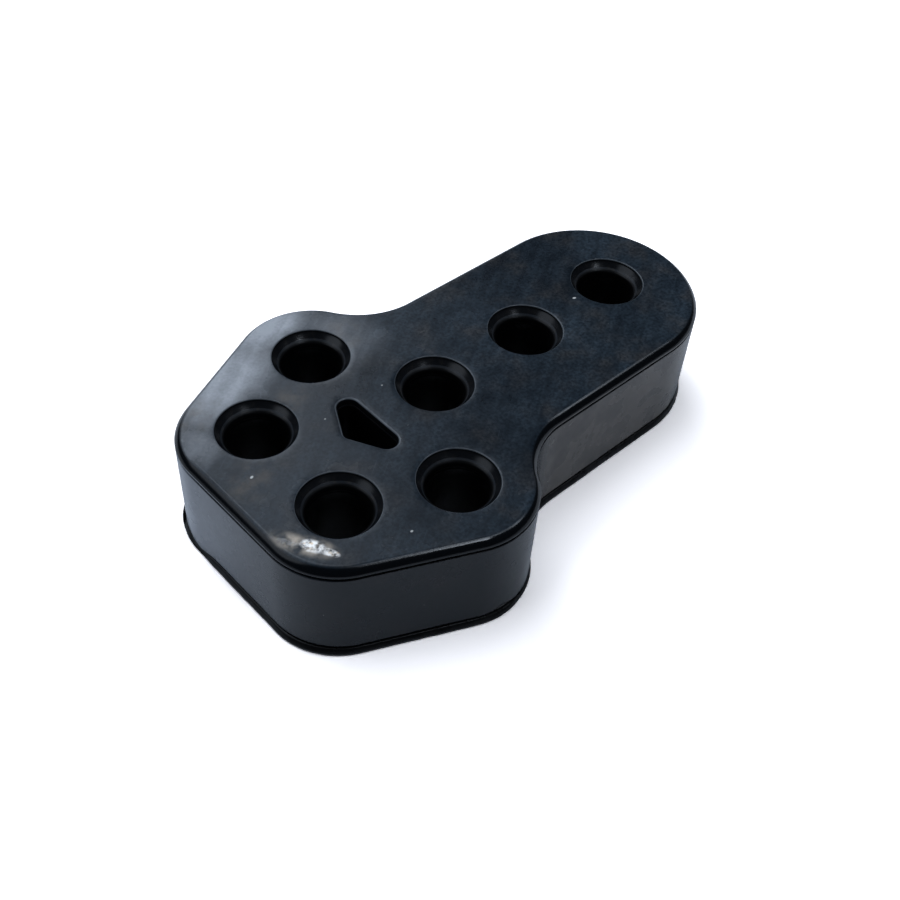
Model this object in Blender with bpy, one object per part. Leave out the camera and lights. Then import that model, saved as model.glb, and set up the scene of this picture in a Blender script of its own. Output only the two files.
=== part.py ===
"""Exhaust hanger bushing: one block of moulded black rubber.

Seen from above, a tongue with a round end widens over two hollow necks into a five-sided head.
Seven rod holes with lead-ins at both faces, and one three-cornered window, go right through.
The side wall runs between two parting lines: a fine groove above, a lip of flash below.
Run with blender --background --python part.py, or from the text editor.
Lengths are in metres. X runs along the tongue, Y across it and Z up.
"""

import math

import bmesh
import bpy

NODE = "hanger_bushing"

# Rod holes: a row of three along the tongue, a pair in the shoulders and a pair in the heel.
# Distances are measured from the axis of the row's first hole, the one in the head.
ROW_PITCH = 0.0250
SHOULDER_HOLE_BACK = 0.0136
SHOULDER_HOLE_SIDE = 0.0213
HEEL_HOLE_BACK = 0.0336
HEEL_HOLE_SIDE = 0.0120
BORE_RADIUS = 0.0060
LEAD_IN = 0.0017
MOUTH_STEP = 0.0003

# Outline: the rubber outside the outer holes, and the tongue with its necks
HEAD_RIM = 0.0150
TIP_RIM = 0.0179
TONGUE_HALF_WIDTH = 0.0224
NECK_RADIUS = 0.0164

# Height, rounded edges and parting lines
THICKNESS = 0.0242
PARTING_HEIGHT = 0.0022
EDGE_ROUND = 0.0030
GROOVE_WIDTH = 0.0003
GROOVE_DEPTH = 0.0002
FLASH_REACH = 0.0007
FLASH_THICKNESS = 0.0005

# Window: its long side faces the row's first hole and its blunt point faces the heel
WINDOW_BACK = 0.0149
WINDOW_LENGTH = 0.0154
WINDOW_DEPTH = 0.0075
WINDOW_CORNER_RADIUS = 0.0022
WINDOW_POINT_RADIUS = 0.0015
WINDOW_EDGE_BREAK = 0.0004

# Fineness of the curves
ARC_STEP = math.radians(6)
HOLE_SIDES = 48
ROUNDING_STEPS = 5

# How far a cutter stands out of the faces that it cuts
CUTTER_OVERRUN = 0.0020

RUBBER_COLOUR = (0.020, 0.023, 0.027, 1.0)
RUBBER_ROUGHNESS = 0.45


def remove_all_objects():
    for old in list(bpy.data.objects):
        bpy.data.objects.remove(old, do_unlink=True)


def arc(centre, radius, start, end, bulge=1):
    """Samples along an arc. bulge is 1 for an arc around rubber, -1 for one around air."""
    steps = max(2, math.ceil(abs(end - start) / ARC_STEP))
    turns = [start + (end - start) * step / steps for step in range(steps + 1)]
    return [(centre, radius, turn, bulge) for turn in turns]


def mirrored(samples):
    """The same samples on the other side of the X axis, so in reverse order."""
    return [((x, -y), radius, -turn, bulge) for (x, y), radius, turn, bulge in reversed(samples)]


def ring(samples, inset, height):
    """Corners of a closed outline, moved in by inset square to itself."""
    corners = []
    for (x, y), radius, turn, bulge in samples:
        reach = radius - bulge * inset
        corners.append((x + reach * math.cos(turn), y + reach * math.sin(turn), height))
    return corners


def circle(radius, height):
    turns = [2 * math.pi * side / HOLE_SIDES for side in range(HOLE_SIDES)]
    return [(radius * math.cos(turn), radius * math.sin(turn), height) for turn in turns]


def loft(rings):
    """Closed surface over rings of as many corners each, counterclockwise, from the bottom up."""
    surface = bmesh.new()
    layers = [[surface.verts.new(corner) for corner in corners] for corners in rings]
    for lower, upper in zip(layers, layers[1:]):
        for index, corner in enumerate(lower):
            after = (index + 1) % len(lower)
            surface.faces.new((corner, lower[after], upper[after], upper[index]))
    surface.faces.new(reversed(layers[0]))
    surface.faces.new(layers[-1])
    return surface


def mesh_from(surface, name):
    mesh = bpy.data.meshes.new(name)
    surface.to_mesh(mesh)
    surface.free()
    return mesh


def link_object(name, mesh):
    piece = bpy.data.objects.new(name, mesh)
    bpy.context.scene.collection.objects.link(piece)
    return piece


def body_outline():
    """Arcs of the outline, counterclockwise from the tongue's tip; straight sides join them."""
    tip_centre = (2 * ROW_PITCH + TIP_RIM - TONGUE_HALF_WIDTH, 0)
    shoulder = (-SHOULDER_HOLE_BACK, SHOULDER_HOLE_SIDE)
    heel = (-HEEL_HOLE_BACK, HEEL_HOLE_SIDE)
    # The neck is an arc of air that touches the tongue's side and the round of the shoulder
    neck_rise = TONGUE_HALF_WIDTH + NECK_RADIUS - shoulder[1]
    neck_run = math.sqrt((HEAD_RIM + NECK_RADIUS) ** 2 - neck_rise**2)
    neck = (shoulder[0] + neck_run, shoulder[1] + neck_rise)
    neck_turn = math.atan2(neck_rise, neck_run)
    side_turn = math.atan2(shoulder[1] - heel[1], shoulder[0] - heel[0]) + math.pi / 2
    half = (
        arc(tip_centre, TONGUE_HALF_WIDTH, 0, math.pi / 2)
        + arc(neck, NECK_RADIUS, -math.pi / 2, neck_turn - math.pi, bulge=-1)[:-1]
        + arc(shoulder, HEAD_RIM, neck_turn, side_turn)
        + arc(heel, HEAD_RIM, side_turn, math.pi)
    )
    return half + mirrored(half)[:-1]


def rounding(height):
    """(inset, height) pairs of a rounded edge, from its face to the wall."""
    turns = [math.pi / 2 * step / ROUNDING_STEPS for step in range(ROUNDING_STEPS + 1)]
    return [(EDGE_ROUND * (1 - math.sin(turn)), height * (1 - math.cos(turn))) for turn in turns]


def side_profile():
    """(inset, height) pairs up the side, from the bottom face to the top face."""
    flash = [(-FLASH_REACH, PARTING_HEIGHT - FLASH_THICKNESS), (-FLASH_REACH, PARTING_HEIGHT)]
    groove_height = THICKNESS - PARTING_HEIGHT
    groove = [(0, groove_height - GROOVE_WIDTH / 2), (GROOVE_DEPTH, groove_height)]
    upper_rounding = [
        (inset, THICKNESS - drop)
        for inset, drop in reversed(rounding(PARTING_HEIGHT - GROOVE_WIDTH / 2))
    ]
    lower_rounding = rounding(PARTING_HEIGHT - FLASH_THICKNESS)
    return lower_rounding + flash + [(0, PARTING_HEIGHT)] + groove + upper_rounding


def rod_hole_cutter_mesh():
    """Turned shape of one rod hole: a step and a 45-degree lead-in at each face, and the bore."""
    mouth = BORE_RADIUS + LEAD_IN
    half_profile = [
        (mouth, -CUTTER_OVERRUN),
        (mouth, MOUTH_STEP),
        (BORE_RADIUS, MOUTH_STEP + LEAD_IN),
    ]
    upper_half = [(radius, THICKNESS - height) for radius, height in reversed(half_profile)]
    rings = [circle(radius, height) for radius, height in half_profile + upper_half]
    return mesh_from(loft(rings), "rod_hole_cutter")


def window_cutter_mesh():
    """Three-cornered prism with round corners, which flares a little at each face."""
    corner = (
        -WINDOW_BACK - WINDOW_CORNER_RADIUS,
        WINDOW_LENGTH / 2 - WINDOW_CORNER_RADIUS,
    )
    point = (-WINDOW_BACK - WINDOW_DEPTH + WINDOW_POINT_RADIUS, 0)
    run = corner[0] - point[0]
    # The slanted side touches both rounds, whose radii differ
    distance = math.hypot(run, corner[1])
    lean = math.asin((WINDOW_CORNER_RADIUS - WINDOW_POINT_RADIUS) / distance)
    side_turn = math.atan2(corner[1], run) + math.pi / 2 + lean
    half = arc(corner, WINDOW_CORNER_RADIUS, 0, side_turn)
    half += arc(point, WINDOW_POINT_RADIUS, side_turn, math.pi)
    samples = half + mirrored(half)[1:]
    flare = -WINDOW_EDGE_BREAK - CUTTER_OVERRUN
    half_profile = [(flare, -CUTTER_OVERRUN), (0, WINDOW_EDGE_BREAK)]
    upper_half = [(inset, THICKNESS - height) for inset, height in reversed(half_profile)]
    rings = [ring(samples, inset, height) for inset, height in half_profile + upper_half]
    return mesh_from(loft(rings), "window_cutter")


def rod_hole_places():
    row = [(step * ROW_PITCH, 0) for step in range(3)]
    shoulders = [(-SHOULDER_HOLE_BACK, side * SHOULDER_HOLE_SIDE) for side in (1, -1)]
    heels = [(-HEEL_HOLE_BACK, side * HEEL_HOLE_SIDE) for side in (1, -1)]
    return row + shoulders + heels


def cut(body, name, mesh, place):
    """Cut body with mesh, put at place beside the first rod hole."""
    cutter = link_object(name, mesh)
    cutter.parent = body
    cutter.location = (*place, 0)
    cutter.display_type = "WIRE"
    cutter.hide_render = True
    boolean = body.modifiers.new(name, "BOOLEAN")
    boolean.operation = "DIFFERENCE"
    boolean.solver = "EXACT"
    boolean.object = cutter


def rubber():
    material = bpy.data.materials.new("black_rubber")
    material.use_nodes = True
    shader = material.node_tree.nodes["Principled BSDF"]
    shader.inputs["Base Color"].default_value = RUBBER_COLOUR
    shader.inputs["Roughness"].default_value = RUBBER_ROUGHNESS
    shader.inputs["Metallic"].default_value = 0.0
    return material


def build_bushing():
    samples = body_outline()
    rings = [ring(samples, inset, height) for inset, height in side_profile()]
    mesh = mesh_from(loft(rings), NODE)
    mesh.materials.append(rubber())
    body = link_object(NODE, mesh)
    # The origin of the model lies under the middle of the block's length
    body.location.x = (HEEL_HOLE_BACK + HEAD_RIM - 2 * ROW_PITCH - TIP_RIM) / 2

    hole_mesh = rod_hole_cutter_mesh()
    for number, place in enumerate(rod_hole_places(), start=1):
        cut(body, f"rod_hole_cutter_{number}", hole_mesh, place)
    cut(body, "window_cutter", window_cutter_mesh(), (0, 0))

    mesh.shade_smooth()
    mesh.set_sharp_from_angle(angle=math.radians(30))
    return body


remove_all_objects()
build_bushing()
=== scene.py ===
"""Looks of the exhaust hanger bushing: moulded black rubber with bloom, gloss and torn flash."""

import math

import bpy
import numpy as np
from mathutils import Matrix, Vector, geometry, noise


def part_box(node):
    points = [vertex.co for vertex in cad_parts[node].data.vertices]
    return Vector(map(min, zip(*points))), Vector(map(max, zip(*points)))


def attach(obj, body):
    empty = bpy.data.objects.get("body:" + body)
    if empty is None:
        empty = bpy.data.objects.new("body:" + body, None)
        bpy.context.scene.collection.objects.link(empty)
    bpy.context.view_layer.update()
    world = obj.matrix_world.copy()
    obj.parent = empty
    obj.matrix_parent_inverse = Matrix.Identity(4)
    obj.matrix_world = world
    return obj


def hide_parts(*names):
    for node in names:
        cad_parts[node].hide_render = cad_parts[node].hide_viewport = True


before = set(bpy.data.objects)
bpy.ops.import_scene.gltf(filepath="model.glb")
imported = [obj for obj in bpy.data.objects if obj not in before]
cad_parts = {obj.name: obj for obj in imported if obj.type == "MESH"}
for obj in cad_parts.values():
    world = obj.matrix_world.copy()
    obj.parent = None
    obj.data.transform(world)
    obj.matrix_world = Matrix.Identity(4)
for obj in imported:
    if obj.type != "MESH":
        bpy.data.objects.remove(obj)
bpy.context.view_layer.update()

NODE = "hanger_bushing"
PIECE = "rubber_block"
MM = 0.001

# The part's driving sizes, in millimetres, as its solid has them
ROW_PITCH = 25.0
SHOULDER_HOLE_BACK = 13.6
SHOULDER_HOLE_SIDE = 21.3
HEEL_HOLE_BACK = 33.6
HEEL_HOLE_SIDE = 12.0
BORE_RADIUS = 6.0
LEAD_IN = 1.7
MOUTH_STEP = 0.3
HEAD_RIM = 15.0
TIP_RIM = 17.9
TONGUE_HALF_WIDTH = 22.4
NECK_RADIUS = 16.4
PARTING_HEIGHT = 2.2
EDGE_ROUND = 3.0
WINDOW_BACK = 14.9
WINDOW_LENGTH = 15.4
WINDOW_DEPTH = 7.5
WINDOW_CORNER_RADIUS = 2.2
WINDOW_POINT_RADIUS = 1.5

# Sizes that the solid gives
low_corner, high_corner = (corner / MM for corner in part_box(NODE))
THICKNESS = high_corner.z - low_corner.z
FLASH_LIMIT = (high_corner.x - low_corner.x - HEEL_HOLE_BACK - HEAD_RIM - 2 * ROW_PITCH - TIP_RIM) / 2
ROW_START = (HEEL_HOLE_BACK + HEAD_RIM - 2 * ROW_PITCH - TIP_RIM) / 2

# How far the looks stay inside the solid's box, in millimetres
BOX_MARGIN = 0.02

# Upper edge as length in millimetres, tilt in degrees at its end, and steps
CREST = ((0.50, 3, 2), (0.45, 24, 5), (0.95, 42, 9), (1.60, 66, 8))

# Parting groove, in millimetres, with the land above it
GROOVE_WIDTH = 0.66
GROOVE_DEPTH = 0.75
GROOVE_LAND = 0.27
GROOVE_LIP = 0.65
# Its upper half: share of the depth, and distance from its middle in shares of the width
GROOVE_PROFILE = ((0, 0.66), (0, 0.58), (0.05, 0.53), (0.18, 0.50), (0.75, 0.44), (1, 0.18))

# Wall between the parting lines: distance from each of them to the nearest plain ring, and rings
WALL_BELOW_GROOVE = 1.0
WALL_ABOVE_FLASH = 1.6
WALL_RINGS = 13

# Edges of the holes, in millimetres
MOUTH_LIP = 0.26
WINDOW_LIP = 0.55
BORE_LIP = 0.9
# Break of a mouth's step: how far in, and how far down from the step's foot
STEP_BREAK = ((0.01, -0.04), (0.06, 0.03))
LEAD_IN_SHARES = (0.2, 0.4, 0.6)
# Faint rings of the moulding below a lead-in: their depths, and rise and place along the bore
RING_DEPTHS = (0.5, 1.15)
RING_PROFILE = ((0, -0.16), (0.03, -0.06), (0.03, 0.06), (0, 0.16))
BORE_RING_DEPTHS = (5.5, 8.5)
WINDOW_RING_DEPTHS = (1.5, 4.0, 8.0)

# Slow and fine unevenness of the parting lines: size in millimetres, and seed
WOBBLE = (9, 3.1)
FRAY = (1.6, 8.3)
FINE_FRAY = (0.6, 5.7)
FINE_FRAY_SHARE = 0.6

# Torn flash on the lower parting line, in millimetres
FLASH_REACH = 0.60
FLASH_LEAST = 0.03
CREVICE_DEPTH = 1.20
CREVICE_LEAST = 0.04
FOOT_HEIGHT = 0.16
FOOT_INSET = 0.55
FOOT_RISE = 0.06
# The wall's ragged lower edge: shares of the crevice's opening, and heights over the lip
RAGGED_EDGE = ((0, 0.55), (0, 0.16), (0.05, 0.09), (0.16, 0.06), (0.70, 0.02))
# The crevice under it and the lip's upper side: inset, and drop below the lip
CREVICE = ((0.95, 0.46), (0.30, 0.50))
LIP_TOP = ((0.08, 0.52), (0.02, 0.56))
LIP_TOP_REACH = 0.15
# The lip's outer side: share of the reach, and drop below the lip
LIP_SIDE = ((0.92, 1.32), (1, 1.42), (1, 1.60))
# Where in plan it seals against the wall, is pinched or has a chip, and how far that reaches
SEALED = (-58.25, 12.0)
SEALED_REACH = 3.4
SEALED_SQUASH = 0.5
PINCH = (-14.5, -34.0)
PINCH_REACH = 7.5
PINCH_SQUASH = 0.4
NOTCH = (-24.2, -36.3)
NOTCH_REACH = 2.0
NOTCH_HEIGHT = 0.7

# A sliver of flash that peels off the heel: where it starts, its steps and its height
SLIVER_START = (-57.9, 16.2)
SLIVER_STEPS = 16
SLIVER_HEIGHT = 0.7
# Distance along the outline, gap to the wall, width and upper height, in millimetres
SLIVER = (
    (0.0, -0.30, 0.40, 0.5),
    (1.0, -0.05, 0.48, 0.7),
    (2.0, 0.22, 0.46, 0.9),
    (3.2, 0.42, 0.38, 1.2),
    (4.6, 0.52, 0.26, 1.5),
    (6.2, 0.50, 0.15, 1.8),
    (7.6, 0.42, 0.06, 1.9),
)

# Spacing of the mesh, in millimetres
OUTLINE_SPACING = 0.55
FACE_SPACING = 1.1
FACE_CLEARANCE = 0.45
HOLE_SIDES = 112
WINDOW_SPACING = 0.35
SAME_PLACE = 1e-6
# Bow of straight lines, for each square millimetre of distance from the middle
BOW = 1e-5

# Camera, fitted to the photograph: millimetres in the part's frame, and degrees
CAMERA_PLACE = (-124.96, -115.99, 178.77)
CAMERA_TARGET = (-19.56, -14.98, 24.2)
CAMERA_ROLL = 4.667
CAMERA_LENS = 46.41
CAMERA_SENSOR = 36

# Studio: round lamps as azimuth, elevation, inner and outer edge in degrees, and level
ROOM_LEVEL = 0.04
LIGHT_TINT = (0.88, 0.98, 1.12, 1)
LAMPS = (
    (90, 74, 4, 26, 3.0),
    (150, 42, 16, 26, 1.6),
    (-38, 46, 4, 9, 8.0),
    (-58, 56, 3, 6, 7.0),
    (-88, 52, 3, 5, 20.0),
    (-82, 61, 3, 5, 17.0),
    (80, 58, 3, 8, 8.0),
    (54, 51.5, 1.5, 2.5, 10.0),
)
# A long window: azimuth and elevation where it starts and ends, softness in degrees, and level
WINDOW_AZIMUTH = (52, 118)
WINDOW_ELEVATION = (30, 45.5)
WINDOW_SOFTNESS = 5
WINDOW_LEVEL = 4.6
# White card, as it lights the rubber and as the camera sees it
FLOOR_COLOUR = (0.68, 0.69, 0.71, 1)
FLOOR_SEEN = (1.80, 1.66, 1.56, 1)
# Half its width in metres, and how far it lies below the part in millimetres
FLOOR_SIZE = 3.0
FLOOR_GAP = 0.02

# How far the ovals that mark the holes reach past their mouths, in millimetres
HOLE_CLEARANCE = 1

# Depths below the upper face where each region of the surface fades in, start and end
FACE_EDGE = (0.48, 0.08)
WALL_EDGE = (1.40, 1.52)
CREST_EDGES = ((0.08, 0.40), (1.56, 1.46))
GROOVE_EDGES = ((1.80, 1.90), (2.60, 2.50))
# Depth in the holes where their painted shade starts
HOLE_SHADE_EDGE = (0.10, 0.40)
LIP_EDGES = ((0.0, 0.05), (0.28, 0.20))
LEAD_IN_EDGE = (2.5, 2.1)
RIM_EDGE = (1.45, 1.95)
# Heights round the lower parting line where the painted shade at its foot fades in
FOOT_EDGE = (0.12, -0.04)

# Sizes of the patterns in the bloom, in millimetres, and turns in degrees
CLOUD_SIZE = 26
MOTTLE_SIZE = 4
GRAIN_SIZE = 0.6
TINT_SIZE = 8
WIPES = ((24, 2.2), 32)
LONG_SCRATCHES = (14, 0.35, 34)
SHORT_SCRATCHES = (7, 0.3, -35)
# Drift of the patches' edges: its size, and how far it moves ragged and frayed ones
DRIFT_SIZE = 7
RAGGED_DRIFT = 6
FRAYED_DRIFT = 2.5
# Fine relief, in millimetres, and the shader's specular level
GRIT_SIZE = 0.28
GRIT_HEIGHT = 0.010
CREST_GRIT_HEIGHT = 0.0045
PEEL_SIZE = 1.5
PEEL_HEIGHT = 0.012
SPECULAR_LEVEL = 0.2

# Colours of the rubber, of what lies on it, and of the light and shade painted on it
RUBBER = (0.0030, 0.0050, 0.0075, 1)
BLOOM = (0.030, 0.043, 0.056, 1)
WARM_BLOOM = (0.050, 0.048, 0.047, 1)
# Pale bloom with a painted sheen of the light from behind on the left
BLOOM_AND_SHEEN = (0.290, 0.303, 0.322, 1)
# Painted light on the walls, brightest toward the heel's +Y end, with some pale bloom
WALL_BLOOM_AND_PAINTED_LIGHT = (0.400, 0.432, 0.490, 1)
# Warm painted light on the wall of the tongue
WARM_PAINTED_LIGHT = (0.094, 0.085, 0.078, 1)
# Near black: painted shade in the bores, the parting groove, the upper crest and under the flash
PAINTED_SHADE = (0.0010, 0.0011, 0.0013, 1)
LEAD_IN_COLOUR = (0.0090, 0.0110, 0.0140, 1)
EARTH = (0.095, 0.076, 0.056, 1)
DUST = (0.45, 0.45, 0.43, 1)
BLUSH = (0.20, 0.13, 0.11, 1)
# Painted highlight on the rounded lips of the holes
PAINTED_LIP_HIGHLIGHT = (0.095, 0.105, 0.115, 1)
# Painted glare: a pale glow round bright glints
PAINTED_GLOW = (0.420, 0.360, 0.290, 1)
PAINTED_GLINT = (0.920, 0.890, 0.850, 1)
WARM_PAINTED_GLINT = (0.760, 0.600, 0.420, 1)

# Places in plan as centre, radii (millimetres), turn (degrees) and strength
# Where the face carries pale bloom and a painted sheen
BLOOM_AND_SHEEN_PATCHES = (
    ((-40, 26), (18, 10), 25, 1.0),
    ((-53.5, 15), (5, 6), 0, 0.35),
    ((-27, 34), (15, 8), 0, 1.2),
    ((-18, 22), (14, 12), 0, 0.30),
)
# Where the walls carry painted light
WALL_LIGHT_PATCHES = (
    ((-11, -31), (11, 10), 0, 0.30),
    ((57, -12), (8, 12), 0, 0.20),
    ((-56.0, 20.0), (5.0, 6), 0, 1.0),
)
EARTH_PATCHES = (
    ((-50, 22), (7, 6), 0, 1.0),
    ((-52, 2), (6, 6), 0, 0.8),
    ((-34, 14), (6, 5), 0, 0.8),
    ((-14, 22), (5, 7), 0, 0.7),
)
SPECKS = (
    ((-51.1, 2.7), (0.45, 0.30), 20, 1.0),
    ((-37.6, -24.8), (0.35, 0.25), 0, 0.8),
    ((-32.1, 5.8), (0.25, 0.20), 0, 0.6),
    ((-18.0, 6.0), (0.25, 0.20), 0, 0.5),
    ((30.6, 0.5), (0.50, 0.30), -20, 1.0),
)
# Where the face carries the painted glare
PAINTED_GLOW_PATCHES = (
    ((-53.5, -15.2), (7.5, 2.6), -62, 1.0),
)
PAINTED_GLINT_PATCHES = (
    ((-52.6, -16.4), (3.0, 1.5), -70, 1.0),
    ((-51.5, -19.6), (2.0, 0.9), -60, 0.8),
    ((-55.0, -12.9), (2.6, 0.8), -60, 0.15),
)


def wave(point, size, seed):
    """Smooth noise over the plan, from -1 to 1, with features of about size millimetres."""
    x, y = point / size
    return noise.noise(Vector((x + seed, y - seed, 2 * seed)))


class Outline:
    """A closed line of points with outward normals, in millimetres."""

    def __init__(self, arcs, spacing):
        points = []
        normals = []
        for centre, radius, start, end, bulge in arcs:
            steps = max(4, math.ceil(radius * abs(end - start) / spacing))
            for turn in np.linspace(start, end, steps + 1):
                direction = np.array((math.cos(turn), math.sin(turn)))
                point = np.array(centre) + radius * direction
                if points and np.hypot(*(point - points[-1])) < SAME_PLACE:
                    continue
                if points and turn == start:
                    self._fill(points, normals, point, bulge * direction, spacing)
                points.append(point)
                normals.append(bulge * direction)
        self._fill(points, normals, points[0], normals[0], spacing)
        if np.hypot(*(points[-1] - points[0])) < SAME_PLACE:
            points.pop()
            normals.pop()
        self.points = np.array(points)
        self.normals = np.array(normals)

    @staticmethod
    def _fill(points, normals, target, normal, spacing):
        """Points along the straight side from the last point to target."""
        start = points[-1]
        steps = math.ceil(np.hypot(*(target - start)) / spacing)
        for step in range(1, steps):
            points.append(start + (target - start) * step / steps)
            normals.append(normal)

    def inset(self, distance):
        """The outline moved in by distance, one number or one for each point."""
        return self.points - self.normals * np.reshape(distance, (-1, 1))


def mirrored(arcs):
    """Arcs on the other side of the X axis, in reverse order."""
    return [((x, -y), radius, -end, -start, bulge) for (x, y), radius, start, end, bulge in reversed(arcs)]


def body_arcs():
    """Arcs of the outline: centre, radius, start, end and bulge, 1 around rubber and -1 around air."""
    tip = (ROW_START + 2 * ROW_PITCH + TIP_RIM - TONGUE_HALF_WIDTH, 0)
    shoulder = (ROW_START - SHOULDER_HOLE_BACK, SHOULDER_HOLE_SIDE)
    heel = (ROW_START - HEEL_HOLE_BACK, HEEL_HOLE_SIDE)
    neck_rise = TONGUE_HALF_WIDTH + NECK_RADIUS - shoulder[1]
    neck_run = math.sqrt((HEAD_RIM + NECK_RADIUS) ** 2 - neck_rise**2)
    neck = (shoulder[0] + neck_run, shoulder[1] + neck_rise)
    neck_turn = math.atan2(neck_rise, neck_run)
    side_turn = math.atan2(shoulder[1] - heel[1], shoulder[0] - heel[0]) + math.pi / 2
    half = [
        (tip, TONGUE_HALF_WIDTH, 0, math.pi / 2, 1),
        (neck, NECK_RADIUS, -math.pi / 2, neck_turn - math.pi, -1),
        (shoulder, HEAD_RIM, neck_turn, side_turn, 1),
        (heel, HEAD_RIM, side_turn, math.pi, 1),
    ]
    return half + mirrored(half)


def window_arcs():
    """Arcs of the window, two corners and its blunt point, laid out as body_arcs does."""
    corner = (
        ROW_START - WINDOW_BACK - WINDOW_CORNER_RADIUS,
        WINDOW_LENGTH / 2 - WINDOW_CORNER_RADIUS,
    )
    point = (ROW_START - WINDOW_BACK - WINDOW_DEPTH + WINDOW_POINT_RADIUS, 0)
    run = corner[0] - point[0]
    lean = math.asin((WINDOW_CORNER_RADIUS - WINDOW_POINT_RADIUS) / math.hypot(run, corner[1]))
    side_turn = math.atan2(corner[1], run) + math.pi / 2 + lean
    half = [
        (corner, WINDOW_CORNER_RADIUS, 0, side_turn, 1),
        (point, WINDOW_POINT_RADIUS, side_turn, math.pi, 1),
    ]
    return half + mirrored(half)


def rod_hole_places():
    row = [(ROW_START + step * ROW_PITCH, 0) for step in range(3)]
    shoulders = [(ROW_START - SHOULDER_HOLE_BACK, side * SHOULDER_HOLE_SIDE) for side in (1, -1)]
    heels = [(ROW_START - HEEL_HOLE_BACK, side * HEEL_HOLE_SIDE) for side in (1, -1)]
    return row + shoulders + heels


def quarter(steps):
    """Pairs from (1, 0) to (0, 1) along a quarter round: how far in, and how far down."""
    turns = [math.pi / 2 * step / steps for step in range(steps + 1)]
    return [(1 - math.sin(turn), 1 - math.cos(turn)) for turn in turns]


def crested(height):
    """(inset, drop) pairs of the upper edge: flat, then a tight crest, then a slow round to the wall."""
    tilts = [0]
    lengths = []
    for length, tilt, steps in CREST:
        start = tilts[-1]
        tilts += [start + (tilt - start) * step / steps for step in range(1, steps + 1)]
        lengths += [length / steps] * steps
    across = down = 0
    pairs = [(0, 0)]
    for before, after, length in zip(tilts, tilts[1:], lengths):
        turn = math.radians((before + after) / 2)
        across += length * math.cos(turn)
        down += length * math.sin(turn)
        pairs.append((across, down))
    return [((across - out) * height / down, drop * height / down) for out, drop in pairs]


class BlockMesh:
    """Collects rings of vertices and the faces between them."""

    def __init__(self):
        self.vertices = []
        self.faces = []

    def ring(self, plan, heights):
        """Adds one closed ring over plan points, and returns its vertex numbers."""
        first = len(self.vertices)
        heights = np.broadcast_to(heights, len(plan))
        self.vertices += [(x, y, z) for (x, y), z in zip(plan, heights)]
        return list(range(first, len(self.vertices)))

    def skin(self, upper, lower):
        """Faces from one ring down to the next, facing out of a counterclockwise line."""
        for index, corner in enumerate(upper):
            after = (index + 1) % len(upper)
            self.faces.append((corner, lower[index], lower[after], upper[after]))

    def skin_all(self, rings):
        """Faces down a row of rings. Rings from the bottom up give a surface that faces in."""
        for upper, lower in zip(rings, rings[1:]):
            self.skin(upper, lower)


def inside(points, loop):
    """Which of the points lie inside a closed loop."""
    x, y = points[:, 0], points[:, 1]
    result = np.zeros(len(points), bool)
    for (x0, y0), (x1, y1) in zip(loop, np.roll(loop, -1, 0)):
        if y0 == y1:
            continue
        crosses = ((y0 > y) != (y1 > y)) & (x < (x1 - x0) * (y - y0) / (y1 - y0) + x0)
        result ^= crosses
    return result


def near(points, centre, width):
    """How near each point is to centre: 1 there, fading over about width."""
    return np.exp(-((points - np.array(centre)) ** 2).sum(1) / width**2)


def groove_rings(mesh, line, wobble):
    """Rings through the parting groove, which narrows along the tongue."""
    height = THICKNESS - PARTING_HEIGHT
    depth = GROOVE_DEPTH * (1 + 0.3 * wobble)
    along_tongue = np.clip((line.points[:, 0] - 5) / 30, 0, 1)
    width = GROOVE_WIDTH * (1 + 0.25 * wobble - 0.35 * along_tongue)
    cut = GROOVE_PROFILE + tuple((share, -offset) for share, offset in reversed(GROOVE_PROFILE))
    return [mesh.ring(line.inset(depth * share), height + width * offset) for share, offset in cut]


def flash_rings(mesh, line, wobble):
    """Rings round the torn flash: the wall's ragged lower edge, a crevice, the lip and the foot."""
    points = line.points
    fray = np.array([wave(point, *FRAY) + FINE_FRAY_SHARE * wave(point, *FINE_FRAY) for point in points])
    sealed = near(points, SEALED, SEALED_REACH)
    pinched = near(points, PINCH, PINCH_REACH)
    notch = NOTCH_HEIGHT * near(points, NOTCH, NOTCH_REACH) * (1 + 0.6 * fray)
    squash = 1 - SEALED_SQUASH * sealed - PINCH_SQUASH * pinched
    opening = (1 - 0.97 * sealed - 0.8 * pinched) * (0.9 + 0.3 * wobble)
    opening = np.clip(opening, CREVICE_LEAST, 1)
    reach = FLASH_REACH + 0.10 * wobble + 0.05 * fray - 0.22 * sealed - 0.18 * pinched
    reach = np.clip(reach, FLASH_LEAST, FLASH_LIMIT - BOX_MARGIN)
    foot = FOOT_HEIGHT + 0.05 * wobble + 0.03 * fray - 0.06 * (1 - squash)
    lip = PARTING_HEIGHT * squash
    profile = [(share * opening, lip + rise + notch) for share, rise in RAGGED_EDGE]
    profile.append((CREVICE_DEPTH * opening, lip - 0.20 * squash + 0.5 * notch))
    profile += [(inset * opening, lip - drop * squash) for inset, drop in CREVICE]
    profile += [(inset - LIP_TOP_REACH * reach, lip - drop * squash) for inset, drop in LIP_TOP]
    profile.append((-reach * (0.50 + 0.12 * fray), lip - 0.94 * squash))
    profile += [(-share * reach, lip - drop * squash + 0.04 * fray) for share, drop in LIP_SIDE]
    profile += [(-0.88 * reach, foot + 0.05), (-0.60 * reach, foot), (FOOT_INSET, foot + FOOT_RISE)]
    for share_in, share_down in reversed(quarter(9)[:-1]):
        inset = FOOT_INSET + (EDGE_ROUND - FOOT_INSET) * share_in
        profile.append((inset, (foot + FOOT_RISE) * share_down))
    return [mesh.ring(line.inset(inset), height) for inset, height in profile]


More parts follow.
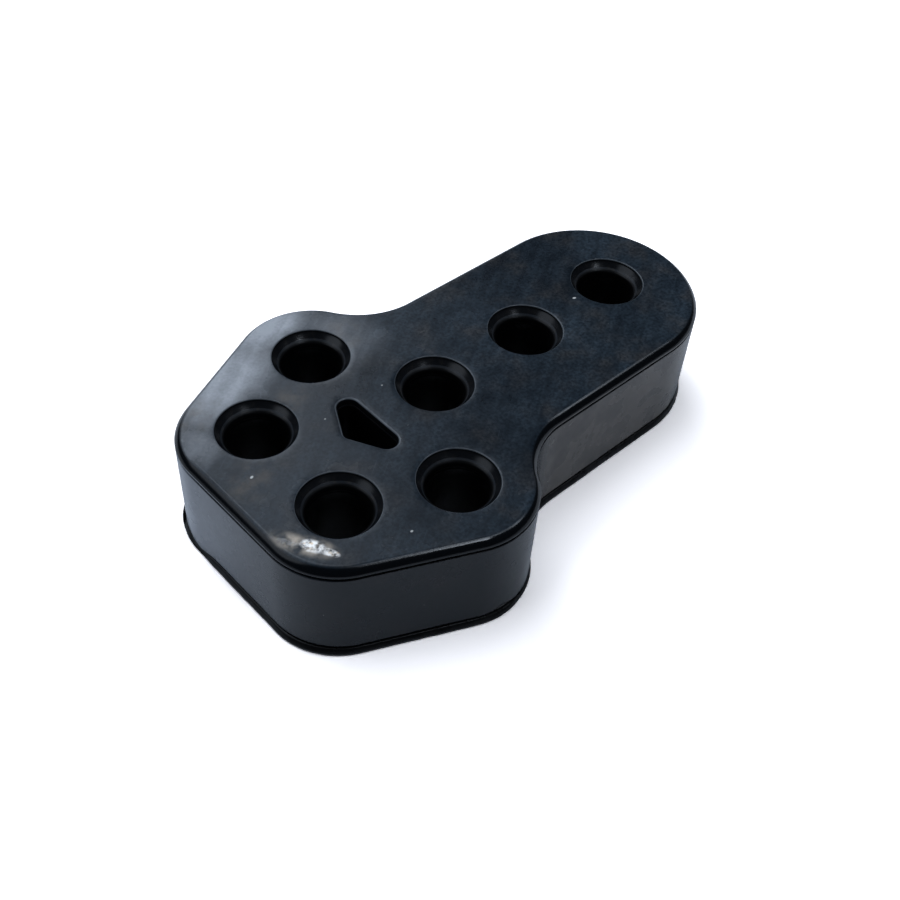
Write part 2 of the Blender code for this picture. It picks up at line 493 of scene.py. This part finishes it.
def side_rings(mesh, line):
    """Rings down the side: crested edge, parting groove, wall, torn flash and lower rounding."""
    wobble = np.array([wave(point, *WOBBLE) for point in line.points])
    crest = crested(PARTING_HEIGHT - GROOVE_WIDTH * GROOVE_LIP - GROOVE_LAND)
    rings = [mesh.ring(line.inset(inset), THICKNESS - drop) for inset, drop in crest]
    rings += groove_rings(mesh, line, wobble)
    wall_top = THICKNESS - PARTING_HEIGHT - WALL_BELOW_GROOVE
    wall_foot = PARTING_HEIGHT + WALL_ABOVE_FLASH
    for height in np.linspace(wall_top, wall_foot, WALL_RINGS):
        rings.append(mesh.ring(line.points, height))
    rings += flash_rings(mesh, line, wobble)
    mesh.skin_all(rings)
    return rings[0], rings[-1]


def add_sliver(mesh, line):
    """A thin curl of flash, rooted in the wall at its thick end and free at its thin end."""
    start = np.hypot(*(line.points - np.array(SLIVER_START)).T).argmin()
    places, *columns = np.array(SLIVER).T
    rows = []
    for along in np.linspace(0, places[-1], SLIVER_STEPS):
        index = (start - round(along / OUTLINE_SPACING)) % len(line.points)
        point, normal = line.points[index], line.normals[index]
        gap, width, top = (np.interp(along, places, column) for column in columns)
        inner = point + normal * gap
        outer = point + normal * (gap + width)
        outer[0] = max(outer[0], low_corner.x + BOX_MARGIN)
        low = max(top - SLIVER_HEIGHT, BOX_MARGIN)
        rows.append(mesh.ring([inner, outer], top) + mesh.ring([outer, inner], low))
    for before, after in zip(rows, rows[1:]):
        for side in range(4):
            mesh.faces.append((before[side], before[(side + 1) % 4], after[(side + 1) % 4], after[side]))
    mesh.faces.append(tuple(reversed(rows[0])))
    mesh.faces.append(tuple(rows[-1]))


def fillet(radius, start, steps):
    """(out, down) pairs of a fillet that ends upright, from a surface leaning by start degrees."""
    turns = [math.radians(start + (90 - start) * step / steps) for step in range(steps + 1)]
    return [(radius * (1 - math.sin(turn)), -radius * math.cos(turn)) for turn in turns]


def rod_hole_rings(mesh, place):
    """Rings down one rod hole: lip, step and lead-in at each face, and the plain bore."""
    turns = np.linspace(0, 2 * math.pi, HOLE_SIDES, endpoint=False)
    directions = np.stack((np.cos(turns), np.sin(turns)), 1)
    mouth = BORE_RADIUS + LEAD_IN
    half = [(mouth + MOUTH_LIP * share_in, MOUTH_LIP * share_down) for share_in, share_down in quarter(5)]
    step_foot = MOUTH_LIP + MOUTH_STEP
    half += [(mouth - across, step_foot + down) for across, down in STEP_BREAK]
    half += [(mouth - LEAD_IN * share, step_foot + LEAD_IN * share) for share in LEAD_IN_SHARES]
    bore_start = step_foot + LEAD_IN + (math.sqrt(2) - 1) * BORE_LIP
    half += [(BORE_RADIUS + out, bore_start + down) for out, down in fillet(BORE_LIP, 45, 7)]
    for depth in RING_DEPTHS:
        half += [(BORE_RADIUS - rise, bore_start + depth + along) for rise, along in RING_PROFILE]
    half += [(BORE_RADIUS, depth) for depth in BORE_RING_DEPTHS]
    profile = [(radius, THICKNESS - depth) for radius, depth in half]
    profile += [(radius, depth) for radius, depth in reversed(half)]
    rings = [mesh.ring(np.array(place) + radius * directions, height) for radius, height in profile]
    mesh.skin_all(rings[::-1])
    return rings[0], rings[-1]


def window_rings(mesh, line):
    """Rings down the window: a rounded lip at each face, and a plain wall."""
    half = [(-WINDOW_LIP * share_in, WINDOW_LIP * share_down) for share_in, share_down in quarter(6)]
    half += [(0, depth) for depth in WINDOW_RING_DEPTHS]
    profile = [(inset, THICKNESS - depth) for inset, depth in half]
    profile += [(inset, depth) for inset, depth in reversed(half)]
    rings = [mesh.ring(line.inset(inset), height) for inset, height in profile]
    mesh.skin_all(rings[::-1])
    return rings[0], rings[-1]


def bowed(points):
    """The points with straight lines bowed a little, so that no three on one side are in line."""
    return points * (1 - BOW * (points**2).sum(1, keepdims=True))


def face_layout(mesh, outer, inner_loops):
    """Filling points of a flat face, and triangles over its loops and those points, by number."""
    loops = [np.array([mesh.vertices[number][:2] for number in loop]) for loop in (outer, *inner_loops)]
    low, high = loops[0].min(0), loops[0].max(0)
    columns = np.arange(low[0], high[0], FACE_SPACING)
    rows = np.arange(low[1], high[1], FACE_SPACING * math.sqrt(3) / 2)
    grid = np.array(
        [(x + FACE_SPACING / 2 * (row % 2), y) for row, y in enumerate(rows) for x in columns]
    )
    keep = inside(grid, loops[0])
    for loop in loops[1:]:
        keep &= ~inside(grid, loop)
    grid = grid[keep]
    rim = np.concatenate(loops)
    nearest = np.array([np.hypot(*(rim - point).T).min() for point in grid])
    grid = grid[nearest > FACE_CLEARANCE]
    points = bowed(np.concatenate((rim, grid)))
    edges = []
    first = 0
    for loop in loops:
        edges += [(first + index, first + (index + 1) % len(loop)) for index in range(len(loop))]
        first += len(loop)
    made = geometry.delaunay_2d_cdt([Vector(point) for point in points], edges, [], 0, SAME_PLACE / 10)
    origin = [sources[0] for sources in made[3]]
    triangles = np.array([[origin[corner] for corner in face] for face in made[2]])
    middles = points[triangles].mean(1)
    keep = inside(middles, bowed(loops[0]))
    for loop in loops[1:]:
        keep &= ~inside(middles, bowed(loop))
    return grid, triangles[keep]


def add_face(mesh, layout, loops, height, upwards):
    """A flat face at one height, from the layout that both faces share."""
    grid, triangles = layout
    numbers = [number for loop in loops for number in loop]
    numbers += mesh.ring(grid, height)
    for first, second, third in triangles:
        corners = (numbers[first], numbers[second], numbers[third])
        mesh.faces.append(corners if upwards else corners[::-1])


def build_block():
    mesh = BlockMesh()
    body_line = Outline(body_arcs(), OUTLINE_SPACING)
    outer = side_rings(mesh, body_line)
    inner = [rod_hole_rings(mesh, place) for place in rod_hole_places()]
    inner.append(window_rings(mesh, Outline(window_arcs(), WINDOW_SPACING)))
    top_loops = [outer[0]] + [loop for loop, _ in inner]
    bottom_loops = [outer[1]] + [loop for _, loop in inner]
    layout = face_layout(mesh, top_loops[0], top_loops[1:])
    add_face(mesh, layout, top_loops, THICKNESS, upwards=True)
    add_face(mesh, layout, bottom_loops, 0, upwards=False)
    add_sliver(mesh, body_line)
    data = bpy.data.meshes.new(PIECE)
    data.from_pydata([Vector(vertex) * MM for vertex in mesh.vertices], [], mesh.faces)
    data.update()
    data.shade_smooth()
    block = bpy.data.objects.new(PIECE, data)
    bpy.context.scene.collection.objects.link(block)
    return block


class Graph:
    """Short calls for nodes. A value given to one is a number, a colour or another node's socket."""

    def __init__(self, tree):
        self.nodes = tree.nodes
        self.links = tree.links

    def node(self, kind, inputs, **settings):
        made = self.nodes.new(kind)
        for name, value in settings.items():
            setattr(made, name, value)
        for key, value in inputs.items():
            if isinstance(value, bpy.types.NodeSocket):
                self.links.new(value, made.inputs[key])
            else:
                made.inputs[key].default_value = value
        return made

    def maths(self, operation, first, second=0.0):
        return self.node("ShaderNodeMath", {0: first, 1: second}, operation=operation).outputs[0]

    def plus(self, *values):
        total = values[0]
        for value in values[1:]:
            total = self.maths("ADD", total, value)
        return total

    def times(self, *values):
        total = values[0]
        for value in values[1:]:
            total = self.maths("MULTIPLY", total, value)
        return total

    def weighed(self, base, *pairs):
        """base plus each value of the pairs times its weight."""
        return self.plus(base, *(self.times(value, weight) for value, weight in pairs))

    def most(self, *values):
        result = values[0]
        for value in values[1:]:
            result = self.maths("MAXIMUM", result, value)
        return result

    def vector(self, operation, first, second=(0, 0, 0), scale=1):
        inputs = {0: first, 1: second, 3: scale}
        return self.node("ShaderNodeVectorMath", inputs, operation=operation).outputs["Vector"]

    def length(self, first):
        return self.node("ShaderNodeVectorMath", {0: first}, operation="LENGTH").outputs["Value"]

    def ramp(self, value, start, end, low=0.0, high=1.0):
        """Smooth step: low where value is at start, high where it is at end."""
        inputs = {"Value": value, "From Min": start, "From Max": end, "To Min": low, "To Max": high}
        return self.node("ShaderNodeMapRange", inputs, interpolation_type="SMOOTHSTEP").outputs[0]

    def mix(self, share, first, second):
        """Colour from first, where share is 0, to second, where it is 1."""
        return self.node("ShaderNodeMix", {0: share, 6: first, 7: second}, data_type="RGBA").outputs[2]


class Surface(Graph):
    """The nodes of one material, with patterns measured in millimetres on the part."""

    def __init__(self, name):
        self.material = bpy.data.materials.new(name)
        self.material.use_nodes = True
        super().__init__(self.material.node_tree)
        self.shader = self.nodes["Principled BSDF"]
        place = self.nodes.new("ShaderNodeTexCoord").outputs["Object"]
        self.place = self.vector("SCALE", place, scale=1 / MM)
        self.x, self.y, self.z = self.node("ShaderNodeSeparateXYZ", {0: self.place}).outputs
        self.depth = self.maths("SUBTRACT", THICKNESS, self.z)

    def band(self, *edges):
        """1 at depths past every edge. An edge is the start and end of a fade."""
        return self.times(*(self.ramp(self.depth, start, end) for start, end in edges))

    def raw_noise(self, size, detail=2, place=None):
        inputs = {"Vector": place or self.place, "Scale": 1 / size, "Detail": detail, "Roughness": 0.5}
        return self.node("ShaderNodeTexNoise", inputs)

    def clouds(self, size, start=0.3, end=0.7, detail=3, place=None):
        """Noise with features of about size millimetres, from 0 to 1."""
        return self.ramp(self.raw_noise(size, detail, place).outputs["Fac"], start, end)

    def turned(self, centre, radii, turn, place=None):
        """Place measured from centre, turned back by turn degrees and in shares of radii."""
        inputs = {
            "Vector": place or self.place,
            "Location": (*centre, 0),
            "Rotation": (0, 0, math.radians(turn)),
            "Scale": (*radii, 1e6),
        }
        return self.node("ShaderNodeMapping", inputs, vector_type="TEXTURE").outputs["Vector"]

    def patches(self, rows, place=None, core=0.2):
        """Soft ovals on the plan, each full inside core of its radii; the strongest one counts."""
        ovals = []
        for centre, radii, turn, strength in rows:
            away = self.length(self.turned(centre, radii, turn, place))
            ovals.append(self.ramp(away, 1.0, core, 0.0, strength))
        return self.most(0.0, *ovals)

    def spot(self, centre, reach, strength):
        """A round patch that fades about as near does on the mesh."""
        radius = 1.6 * reach
        return self.patches([(centre, (radius, radius), 0, strength)], core=0.1)

    def scratches(self, length, width, turn):
        """Sparse fine lines of about the given length and width, turned by turn degrees."""
        place = self.turned((0, 0), (length, width), turn)
        return self.clouds(1, 0.66, 0.80, detail=2, place=place)

    def specks(self, spacing, radius, share):
        """Tiny round specks in a share of cells of the given spacing, of sizes up to radius."""
        cells = self.node("ShaderNodeTexVoronoi", {"Vector": self.place, "Scale": 1 / spacing})
        chance = self.node("ShaderNodeSeparateColor", {0: cells.outputs["Color"]})
        size = self.times(chance.outputs[0], radius / spacing)
        speck = self.ramp(cells.outputs["Distance"], size, 0.0)
        return self.times(speck, self.ramp(chance.outputs[1], 1 - share, 1.02 - share))


def hole_patches():
    """Ovals that hold the holes, for what is different inside them."""
    radius = BORE_RADIUS + LEAD_IN + HOLE_CLEARANCE
    ovals = [(place, (radius, radius), 0, 1.0) for place in rod_hole_places()]
    window_centre = (ROW_START - WINDOW_BACK - WINDOW_DEPTH / 2, 0)
    ovals.append((window_centre, (WINDOW_DEPTH, WINDOW_LENGTH * 0.75), 0, 1.0))
    return ovals


class Rubber(Surface):
    """Moulded black rubber: cloudy bloom, wiped streaks and dust, with painted sheen and light on the face
    and walls, painted glare on the face, a painted highlight on the hole lips, and painted shade in the
    holes and along the edges.
    """

    def __init__(self):
        super().__init__("bloomed_rubber_with_painted_light")
        self.mark_patterns()
        self.mark_regions()
        colour = self.bloomed()
        for layer in (self.sheened_and_lit, self.soiled, self.painted_glare, self.marked_edges):
            colour = layer(colour)
        self.links.new(colour, self.shader.inputs["Base Color"])
        self.finish()

    def mark_patterns(self):
        """The patterns that the layers share, and places on the part that have drifted."""
        away = self.raw_noise(DRIFT_SIZE, 3).outputs["Color"]
        self.drift = self.vector("SUBTRACT", away, (0.5, 0.5, 0.5))
        self.ragged = self.drifted(RAGGED_DRIFT)
        self.frayed = self.drifted(FRAYED_DRIFT)
        self.cloudy = self.clouds(CLOUD_SIZE)
        self.mottled = self.clouds(MOTTLE_SIZE, 0.25, 0.75)
        self.grainy = self.clouds(GRAIN_SIZE, 0.25, 0.75, detail=2)
        self.wiped = self.clouds(1, 0.3, 0.75, detail=2, place=self.turned((0, 0), *WIPES))

    def drifted(self, distance):
        return self.vector("ADD", self.place, self.vector("SCALE", self.drift, scale=distance))

    def mark_regions(self):
        """Where the face, wall, edges and holes are: 1 inside, 0 outside."""
        self.face = self.band(FACE_EDGE)
        self.wall = self.band(WALL_EDGE)
        self.crest = self.band(*CREST_EDGES)
        self.groove = self.band(*GROOVE_EDGES)
        self.lead_in = self.ramp(self.depth, *LEAD_IN_EDGE)
        holes = self.patches(hole_patches(), core=0.97)
        # Inside the holes, below their lips: painted shade
        self.hole_shade = self.times(holes, self.band(HOLE_SHADE_EDGE))
        self.lips = self.times(holes, self.band(*LIP_EDGES))
        # Top of the painted shade at the foot: lower where the flash is sealed or pinched, higher at the
        # chip
        sunk = self.plus(
            self.spot(SEALED, SEALED_REACH, SEALED_SQUASH),
            self.spot(PINCH, PINCH_REACH, PINCH_SQUASH),
        )
        chip_radius = 1.5 * NOTCH_REACH
        chip = self.patches([(NOTCH, (chip_radius, chip_radius), 0, NOTCH_HEIGHT)], self.frayed, core=0.6)
        parting = self.plus(self.times(sunk, -PARTING_HEIGHT), PARTING_HEIGHT, chip)
        self.foot = self.ramp(self.maths("SUBTRACT", self.z, parting), *FOOT_EDGE)

    def bloomed(self):
        """Black rubber under a thin bloom, with fine scratches on the face."""
        bloom = self.weighed(0.03, (self.cloudy, 0.25), (self.wiped, 0.18), (self.mottled, 0.15))
        toward_tip = self.ramp(self.x, -45, 15, 0.75, 1.1)
        bloom = self.times(bloom, self.weighed(0.45, (self.grainy, 1.1)), toward_tip)
        short = self.scratches(*SHORT_SCRATCHES)
        scratched = self.plus(self.scratches(*LONG_SCRATCHES), self.times(short, 0.5))
        bloom = self.plus(bloom, self.times(scratched, self.face, 0.35))
        # Bloom cut to about a sixth on the walls: painted shade that keeps them darker than the face
        off_shaded_wall = self.ramp(self.wall, 0, 1, 1.0, 0.16)
        # No bloom on the upper crest: part of its painted shade
        off_shaded_crest = self.ramp(self.crest, 0, 1, 1.0, 0.0)
        tint = self.mix(self.clouds(TINT_SIZE, 0.45, 0.75), BLOOM, WARM_BLOOM)
        return self.mix(self.times(bloom, off_shaded_wall, off_shaded_crest), RUBBER, tint)

    def sheened_and_lit(self, colour):
        """Pale bloom with a painted sheen on the face, painted light on the heel's wall and, warmer,
        painted light on the wall of the tongue.
        """
        broken = self.weighed(0.55, (self.mottled, 0.20), (self.wiped, 0.25), (self.grainy, 0.15))
        # Pale bloom and painted sheen on the left of the face
        self.bloom_and_sheen = self.times(self.patches(BLOOM_AND_SHEEN_PATCHES, self.ragged), self.face, broken)
        colour = self.mix(self.bloom_and_sheen, colour, BLOOM_AND_SHEEN)
        # Painted light on the heel's wall, rising toward its +Y end, and on the wall patches
        light_along_heel = self.plus(
            self.ramp(self.y, -22, 22, 0.0, 0.42),
            self.ramp(self.y, 9, 20, 0.0, 0.25),
        )
        heel = self.times(self.ramp(self.x, -55.0, -58.0), light_along_heel)
        heel = self.times(self.most(heel, self.patches(WALL_LIGHT_PATCHES)), self.wall)
        colour = self.mix(self.times(heel, self.weighed(0.7, (self.cloudy, 0.3))), colour, WALL_BLOOM_AND_PAINTED_LIGHT)
        # Warm painted light on the tongue's wall on the -Y side
        flank_light = self.times(self.ramp(self.x, -6, 2), self.ramp(self.y, -21.0, -21.9), self.wall)
        return self.mix(self.times(flank_light, self.weighed(0.6, (self.mottled, 0.4))), colour, WARM_PAINTED_LIGHT)

    def soiled(self, colour):
        """Earthy patches and dust."""
        earth = self.times(self.patches(EARTH_PATCHES, self.ragged), self.face)
        earth = self.times(earth, self.clouds(2.6, 0.30, 0.80, detail=4), 0.5)
        colour = self.mix(earth, colour, EARTH)
        coarse = self.times(self.specks(3.0, 0.16, 0.25), 0.45)
        fine = self.times(self.specks(1.1, 0.10, 0.30), 0.16)
        large = self.times(self.patches(SPECKS, core=0.5), self.face)
        return self.mix(self.most(coarse, fine, large), colour, DUST)

    def painted_glare(self, colour):
        """Painted glare near the face's corner at the heel's -Y end: a pale glow with bright glints."""
        glare_glow = self.times(self.patches(PAINTED_GLOW_PATCHES, self.frayed), self.face)
        glare_glow = self.times(glare_glow, self.clouds(2.5, 0.30, 0.70))
        colour = self.mix(glare_glow, colour, PAINTED_GLOW)
        glints = self.times(self.patches(PAINTED_GLINT_PATCHES, self.frayed, core=0.5), self.face)
        glints = self.times(glints, self.clouds(1.1, 0.34, 0.60, detail=4))
        return self.mix(glints, colour, self.mix(self.clouds(0.9, 0.5, 0.7), PAINTED_GLINT, WARM_PAINTED_GLINT))

    def marked_edges(self, colour):
        """Blush on the wall, painted shade in the holes with stained lead-ins, a painted highlight on the
        mouths' lips, and painted shade on the upper crest, in the parting groove and at the foot under the
        flash.
        """
        colour = self.mix(self.times(self.clouds(5, 0.45, 0.75), self.wall, 0.02), colour, BLUSH)
        rim = self.times(self.ramp(self.depth, *RIM_EDGE), self.lead_in, self.mottled, 0.07)
        stain = self.times(self.clouds(1.3, 0.45, 0.75), self.lead_in, 0.14)
        # Painted shade in the bores; the lead-ins keep their own dark colour and stains
        hole_shade_and_stain = self.mix(self.lead_in, PAINTED_SHADE, LEAD_IN_COLOUR)
        hole_shade_and_stain = self.mix(self.plus(stain, rim), hole_shade_and_stain, EARTH)
        colour = self.mix(self.hole_shade, colour, hole_shade_and_stain)
        # Painted highlight on the lips of the holes' mouths
        lip_highlight = self.times(self.lips, self.weighed(0.3, (self.mottled, 0.5)))
        colour = self.mix(lip_highlight, colour, PAINTED_LIP_HIGHLIGHT)
        # Painted shade, near black: at the foot under the flash, in the parting groove, and three quarters
        # of the way on the upper crest
        return self.mix(self.most(self.foot, self.groove, self.times(self.crest, 0.75)), colour, PAINTED_SHADE)

    def finish(self):
        """Gloss, and the fine relief that scatters it."""
        gloss = self.weighed(
            0.21,
            (self.cloudy, 0.05),
            (self.mottled, 0.04),
            (self.bloom_and_sheen, 0.12),
            (self.hole_shade, 0.08),
            (self.foot, 0.02),
            (self.crest, -0.13),
        )
        self.links.new(gloss, self.shader.inputs["Roughness"])
        grit_height = self.ramp(self.crest, 0, 1, GRIT_HEIGHT * MM, CREST_GRIT_HEIGHT * MM)
        grit = self.times(self.raw_noise(GRIT_SIZE).outputs["Fac"], grit_height)
        peel = self.times(self.raw_noise(PEEL_SIZE).outputs["Fac"], PEEL_HEIGHT * MM)
        relief = {"Height": self.plus(grit, peel), "Strength": 1.0, "Distance": 1.0}
        bump = self.node("ShaderNodeBump", relief)
        self.links.new(bump.outputs["Normal"], self.shader.inputs["Normal"])
        self.shader.inputs["Specular IOR Level"].default_value = SPECULAR_LEVEL


def build_camera():
    data = bpy.data.cameras.new("photo_camera")
    data.lens = CAMERA_LENS
    data.sensor_width = CAMERA_SENSOR
    data.clip_start = 0.01
    data.clip_end = 20
    camera = bpy.data.objects.new("photo_camera", data)
    bpy.context.scene.collection.objects.link(camera)
    place = Vector(CAMERA_PLACE) * MM
    heading = (Vector(CAMERA_TARGET) * MM - place).to_track_quat("-Z", "Y")
    roll = Matrix.Rotation(math.radians(CAMERA_ROLL), 4, "Z")
    camera.matrix_world = Matrix.Translation(place) @ heading.to_matrix().to_4x4() @ roll
    bpy.context.scene.camera = camera


def build_floor():
    """A white card lit by the lamps; the camera sees it brighter, as an overexposed photograph does."""
    data = bpy.data.meshes.new("floor")
    corners = [(x * FLOOR_SIZE, y * FLOOR_SIZE, 0) for x, y in ((-1, -1), (1, -1), (1, 1), (-1, 1))]
    data.from_pydata(corners, [], [(0, 1, 2, 3)])
    floor = bpy.data.objects.new("floor", data)
    floor.location.z = -FLOOR_GAP * MM
    bpy.context.scene.collection.objects.link(floor)
    material = bpy.data.materials.new("white_card")
    material.use_nodes = True
    graph = Graph(material.node_tree)
    graph.nodes.clear()
    seen = graph.node("ShaderNodeLightPath", {}).outputs["Is Camera Ray"]
    colour = graph.mix(seen, FLOOR_COLOUR, FLOOR_SEEN)
    diffuse = graph.node("ShaderNodeBsdfDiffuse", {"Color": colour})
    graph.node("ShaderNodeOutputMaterial", {"Surface": diffuse.outputs[0]})
    data.materials.append(material)


def direction(azimuth, elevation):
    """Unit vector; azimuth turns from +X toward +Y, in degrees."""
    turn, rise = math.radians(azimuth), math.radians(elevation)
    return (math.cos(rise) * math.cos(turn), math.cos(rise) * math.sin(turn), math.sin(rise))


def soft_range(graph, value, limits, softness):
    """1 between two limits in degrees, fading to 0 over softness, for a value in radians."""
    low, high = limits
    start = graph.ramp(value, math.radians(low - softness / 2), math.radians(low + softness / 2))
    end = graph.ramp(value, math.radians(high + softness / 2), math.radians(high - softness / 2))
    return graph.times(start, end)


def build_world():
    """A dim studio with soft lamps and a long window; the camera sees plain white."""
    world = bpy.data.worlds.new("studio")
    bpy.context.scene.world = world
    world.use_nodes = True
    graph = Graph(world.node_tree)
    graph.nodes.clear()
    way = graph.node("ShaderNodeTexCoord", {}).outputs["Generated"]
    x, y, z = graph.node("ShaderNodeSeparateXYZ", {0: way}).outputs
    level = ROOM_LEVEL
    for azimuth, elevation, inner, outer, strength in LAMPS:
        inputs = {0: way, 1: direction(azimuth, elevation)}
        dot = graph.node("ShaderNodeVectorMath", inputs, operation="DOT_PRODUCT").outputs["Value"]
        edge, full = math.cos(math.radians(outer)), math.cos(math.radians(inner))
        level = graph.plus(level, graph.ramp(dot, edge, full, 0.0, strength))
    across = soft_range(graph, graph.maths("ARCTAN2", y, x), WINDOW_AZIMUTH, WINDOW_SOFTNESS)
    upward = soft_range(graph, graph.maths("ARCSINE", z), WINDOW_ELEVATION, WINDOW_SOFTNESS)
    level = graph.plus(level, graph.times(across, upward, WINDOW_LEVEL))
    seen = graph.node("ShaderNodeLightPath", {}).outputs["Is Camera Ray"]
    strength = graph.plus(level, graph.times(seen, graph.maths("SUBTRACT", 1, level)))
    colour = graph.mix(seen, LIGHT_TINT, (1, 1, 1, 1))
    background = graph.node("ShaderNodeBackground", {"Color": colour, "Strength": strength})
    graph.node("ShaderNodeOutputWorld", {"Surface": background.outputs[0]})


block = build_block()
block.data.materials.append(Rubber().material)
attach(block, "root")
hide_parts(NODE)

build_camera()
build_floor()
build_world()

bpy.context.scene.view_settings.view_transform = "Standard"
